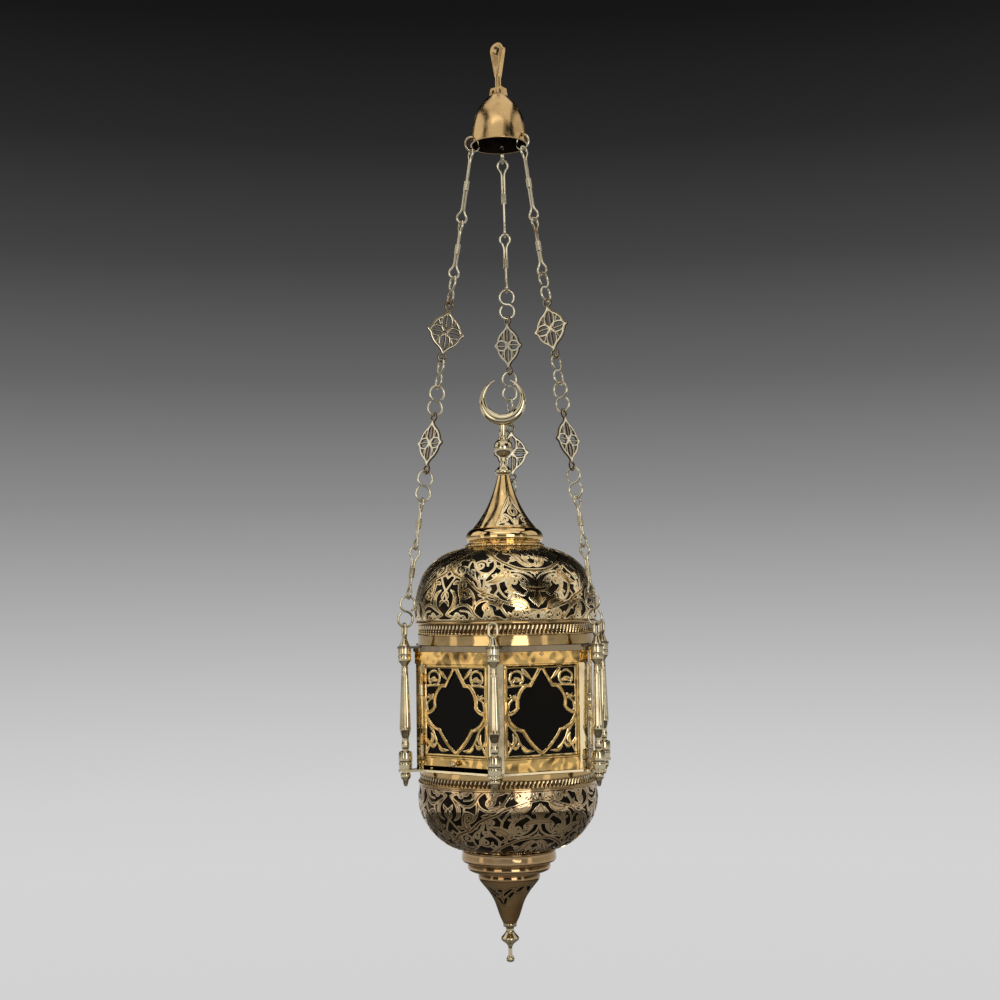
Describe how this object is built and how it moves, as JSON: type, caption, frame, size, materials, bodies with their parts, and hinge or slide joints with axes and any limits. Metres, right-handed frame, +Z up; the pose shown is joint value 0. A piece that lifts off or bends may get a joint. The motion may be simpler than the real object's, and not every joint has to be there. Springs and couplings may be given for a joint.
{
  "type": "hanging lantern",
  "caption": "Hanging hexagonal candle lantern in pierced brass with glazed panels, a hinged door, a domed roof with a crescent, a bowl below and chains up to a bell canopy.",
  "frame": {"origin": "centre of the hanging eye's bore", "axes": "+Z up along the hanging line, -Y out of the door panel, +X to the right of the door"},
  "size_m": [0.2753, 0.2402, 1.1107],
  "materials": {
    "old_brass": "satin, slightly tarnished",
    "chain_brass": "worn bright wire",
    "plaque_brass": "cast, tarnished in the recesses",
    "sheet_brass": "polished sheet",
    "pierced_brass": "polished pierced sheet, dark inside",
    "panel_brass": "warm polished sheet",
    "cast_brass": "pale cast and turned",
    "pane_glass": "clear, amber tinted",
    "rivet_brass": "dull",
    "inner_brass": "tarnished"
  },
  "bodies": {
    "eye": {"hanging_eye": "old_brass", "swivel_washer": "old_brass"},
    "bell": {"stirrup": "old_brass", "bell": "old_brass"},
    "chain_left": {"chain_left_ring": "chain_brass", "chain_left_wrapped_links": "chain_brass", "chain_left_s_links": "chain_brass", "chain_left_upper_plaque": "plaque_brass", "chain_left_lower_plaque": "plaque_brass"},
    "chain_right": {"chain_right_ring": "chain_brass", "chain_right_wrapped_links": "chain_brass", "chain_right_s_links": "chain_brass", "chain_right_upper_plaque": "plaque_brass", "chain_right_lower_plaque": "plaque_brass"},
    "chain_rear": {"chain_rear_ring": "chain_brass", "chain_rear_wrapped_links": "chain_brass", "chain_rear_s_links": "chain_brass", "chain_rear_upper_plaque": "plaque_brass", "chain_rear_lower_plaque": "plaque_brass"},
    "lantern": {"upper_plate": "sheet_brass", "lower_plate": "sheet_brass", "corner_posts": "sheet_brass", "dome_band": "sheet_brass", "bowl_band": "sheet_brass", "spire_ring": "sheet_brass", "bowl_collar": "sheet_brass", "dome": "pierced_brass", "bowl": "pierced_brass", "upper_spire": "pierced_brass", "lower_spire": "pierced_brass", "panel_1": "panel_brass", "panel_2": "panel_brass", "panel_3": "panel_brass", "panel_4": "panel_brass", "panel_5": "panel_brass", "column_1": "cast_brass", "column_2": "cast_brass", "column_3": "cast_brass", "column_4": "cast_brass", "column_5": "cast_brass", "column_6": "cast_brass", "eye_nuts": "cast_brass", "drop_nuts": "cast_brass", "finial": "cast_brass", "drop_finial": "cast_brass", "crescent": "cast_brass", "pane_1": "pane_glass", "pane_2": "pane_glass", "pane_3": "pane_glass", "pane_4": "pane_glass", "pane_5": "pane_glass", "panel_rivets": "rivet_brass", "band_rivets": "rivet_brass", "hinge_pins": "rivet_brass", "drip_pan": "inner_brass", "candle_socket": "inner_brass"},
    "door": {"door": "panel_brass", "door_pane": "pane_glass", "door_knob": "cast_brass"}
  },
  "joints": [
    {"name": "swivel", "type": "hinge", "parent": "eye", "child": "bell", "pos_m": [0, 0, -0.0451], "axis": [0, 0, 1], "continuous": true},
    {"name": "lantern_twist", "type": "hinge", "parent": "bell", "child": "lantern", "pos_m": [0, 0, -0.7269], "axis": [0, 0, 1], "range_deg": [-6, 6]},
    {"name": "chain_left_sway", "type": "hinge", "parent": "bell", "child": "chain_left", "pos_m": [-0.01707, -0.02958, -0.112], "axis": [-0.5, -0.866, 0], "range_deg": [-1.35, 1.35]},
    {"name": "chain_right_sway", "type": "hinge", "parent": "bell", "child": "chain_right", "pos_m": [0.03415, 0, -0.112], "axis": [1, 0, 0], "range_deg": [-1.35, 1.35]},
    {"name": "chain_rear_sway", "type": "hinge", "parent": "bell", "child": "chain_rear", "pos_m": [-0.01707, 0.02958, -0.112], "axis": [-0.5, 0.866, 0], "range_deg": [-1.35, 1.35]},
    {"name": "door_hinge", "type": "hinge", "parent": "lantern", "child": "door", "pos_m": [-0.0473, -0.10189, -0.7994], "axis": [0, 0, -1], "range_deg": [0, 110]}
  ],
  "couplings": [
    {"joint": "chain_left_sway", "follows": "lantern_twist", "ratio": 0.21772},
    {"joint": "chain_right_sway", "follows": "lantern_twist", "ratio": 0.21772},
    {"joint": "chain_rear_sway", "follows": "lantern_twist", "ratio": 0.21772}
  ]
}
